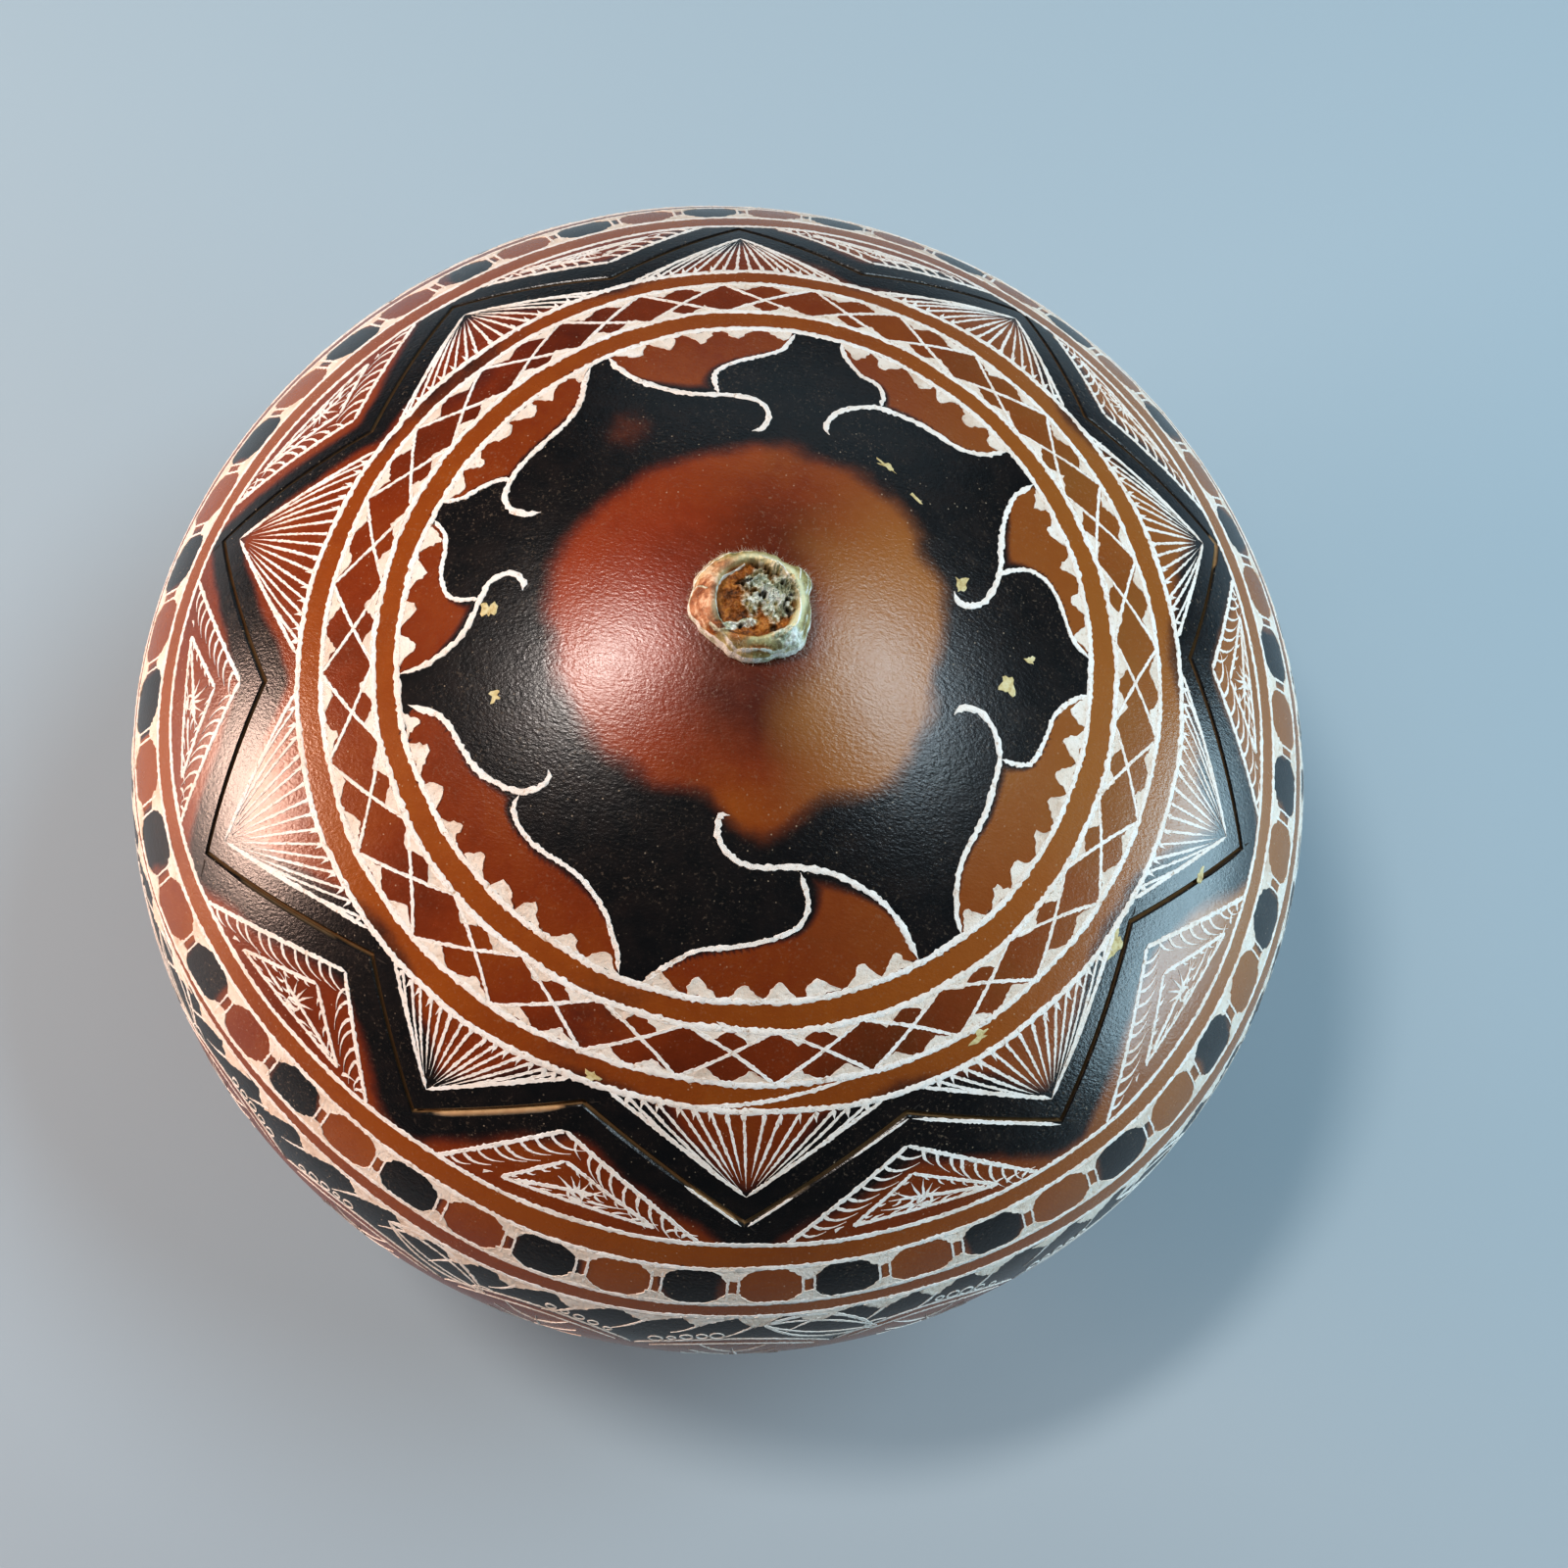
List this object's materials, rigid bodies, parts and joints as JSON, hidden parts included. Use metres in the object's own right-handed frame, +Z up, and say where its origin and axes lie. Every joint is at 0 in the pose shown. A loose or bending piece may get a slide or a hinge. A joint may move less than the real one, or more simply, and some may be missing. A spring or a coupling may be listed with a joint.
{
  "type": "carved gourd rattle",
  "caption": "Round dried gourd with a star-cut lift-off lid, a short stem stub on top and loose seeds inside; rattles when shaken and holds small things.",
  "frame": {"origin": "centre of the flat base, on the surface it stands on", "axes": "+Z up through the crown and the stem stub; -Y is the side the star's angles are counted from"},
  "size_m": [0.13, 0.13, 0.0959],
  "materials": {
    "gourd_skin": "carved, burned and polished gourd skin",
    "gourd_crown": "carved, burned and polished gourd skin",
    "stem_wood": "dry, fibrous and pitted stalk",
    "seed_coat": "dry, smooth seed coat"
  },
  "bodies": {
    "bowl": {"gourd_bowl": "gourd_skin"},
    "lid": {"gourd_lid": "gourd_crown", "stem_stub": "stem_wood"},
    "seed_01": {"seed_01": "seed_coat"},
    "seed_02": {"seed_02": "seed_coat"},
    "seed_03": {"seed_03": "seed_coat"},
    "seed_04": {"seed_04": "seed_coat"},
    "seed_05": {"seed_05": "seed_coat"},
    "seed_06": {"seed_06": "seed_coat"},
    "seed_07": {"seed_07": "seed_coat"},
    "seed_08": {"seed_08": "seed_coat"},
    "seed_09": {"seed_09": "seed_coat"},
    "seed_10": {"seed_10": "seed_coat"},
    "seed_11": {"seed_11": "seed_coat"},
    "seed_12": {"seed_12": "seed_coat"},
    "seed_13": {"seed_13": "seed_coat"},
    "seed_14": {"seed_14": "seed_coat"},
    "seed_15": {"seed_15": "seed_coat"},
    "seed_16": {"seed_16": "seed_coat"}
  },
  "joints": [
    {"name": "lid_lift", "type": "slide", "parent": "bowl", "child": "lid", "axis": [0, 0, 1], "range_m": [0, 0.09]},
    {"name": "seed_01_hop", "type": "slide", "parent": "bowl", "child": "seed_01", "axis": [0, 0, 1], "range_m": [0, 0.02]},
    {"name": "seed_02_hop", "type": "slide", "parent": "bowl", "child": "seed_02", "axis": [0, 0, 1], "range_m": [0, 0.02]},
    {"name": "seed_03_hop", "type": "slide", "parent": "bowl", "child": "seed_03", "axis": [0, 0, 1], "range_m": [0, 0.02]},
    {"name": "seed_04_hop", "type": "slide", "parent": "bowl", "child": "seed_04", "axis": [0, 0, 1], "range_m": [0, 0.02]},
    {"name": "seed_05_hop", "type": "slide", "parent": "bowl", "child": "seed_05", "axis": [0, 0, 1], "range_m": [0, 0.02]},
    {"name": "seed_06_hop", "type": "slide", "parent": "bowl", "child": "seed_06", "axis": [0, 0, 1], "range_m": [0, 0.02]},
    {"name": "seed_07_hop", "type": "slide", "parent": "bowl", "child": "seed_07", "axis": [0, 0, 1], "range_m": [0, 0.02]},
    {"name": "seed_08_hop", "type": "slide", "parent": "bowl", "child": "seed_08", "axis": [0, 0, 1], "range_m": [0, 0.02]},
    {"name": "seed_09_hop", "type": "slide", "parent": "bowl", "child": "seed_09", "axis": [0, 0, 1], "range_m": [0, 0.02]},
    {"name": "seed_10_hop", "type": "slide", "parent": "bowl", "child": "seed_10", "axis": [0, 0, 1], "range_m": [0, 0.02]},
    {"name": "seed_11_hop", "type": "slide", "parent": "bowl", "child": "seed_11", "axis": [0, 0, 1], "range_m": [0, 0.02]},
    {"name": "seed_12_hop", "type": "slide", "parent": "bowl", "child": "seed_12", "axis": [0, 0, 1], "range_m": [0, 0.02]},
    {"name": "seed_13_hop", "type": "slide", "parent": "bowl", "child": "seed_13", "axis": [0, 0, 1], "range_m": [0, 0.02]},
    {"name": "seed_14_hop", "type": "slide", "parent": "bowl", "child": "seed_14", "axis": [0, 0, 1], "range_m": [0, 0.02]},
    {"name": "seed_15_hop", "type": "slide", "parent": "bowl", "child": "seed_15", "axis": [0, 0, 1], "range_m": [0, 0.02]},
    {"name": "seed_16_hop", "type": "slide", "parent": "bowl", "child": "seed_16", "axis": [0, 0, 1], "range_m": [0, 0.02]}
  ]
}
